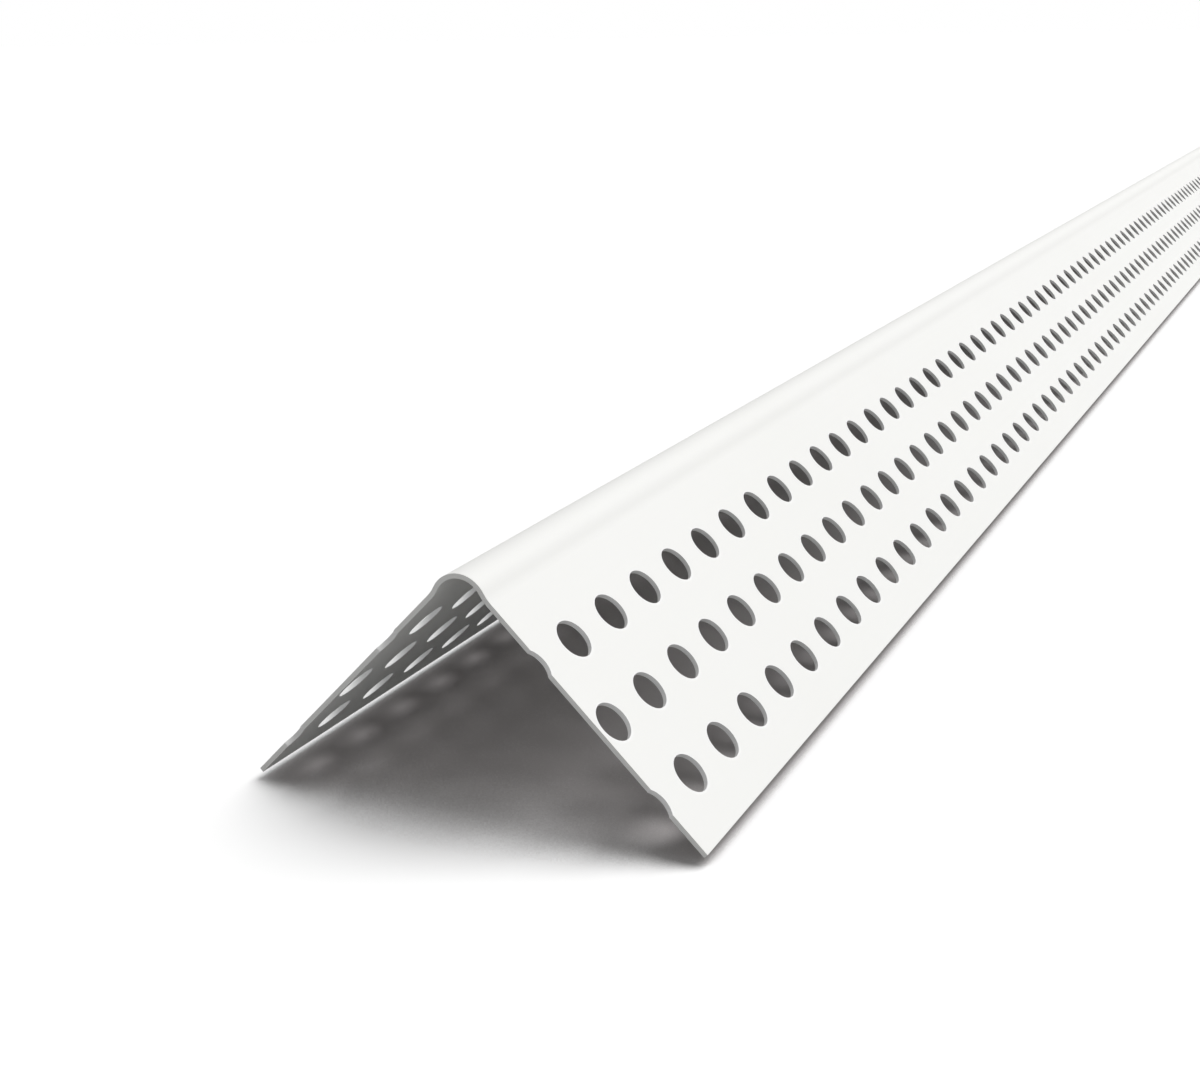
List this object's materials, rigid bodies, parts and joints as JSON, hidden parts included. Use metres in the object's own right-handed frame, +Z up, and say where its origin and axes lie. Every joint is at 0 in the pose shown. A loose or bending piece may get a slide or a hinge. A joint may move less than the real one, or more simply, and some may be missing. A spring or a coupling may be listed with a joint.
{
  "type": "drywall corner bead",
  "caption": "Drywall outside corner bead: a thin white V-shaped profile with a round proud nose and perforated legs, which guards and trues up a plasterboard corner.",
  "frame": {"origin": "on the floor, under the middle of the nose and half way along the length", "axes": "+Y along the length, away from the end that the picture shows; +Z up through the nose; +X towards the right leg"},
  "size_m": [0.0448, 2.4, 0.022],
  "materials": {
    "white_pvc": "matte, as extruded"
  },
  "bodies": {
    "root": {"corner_bead": "white_pvc"}
  },
  "joints": []
}
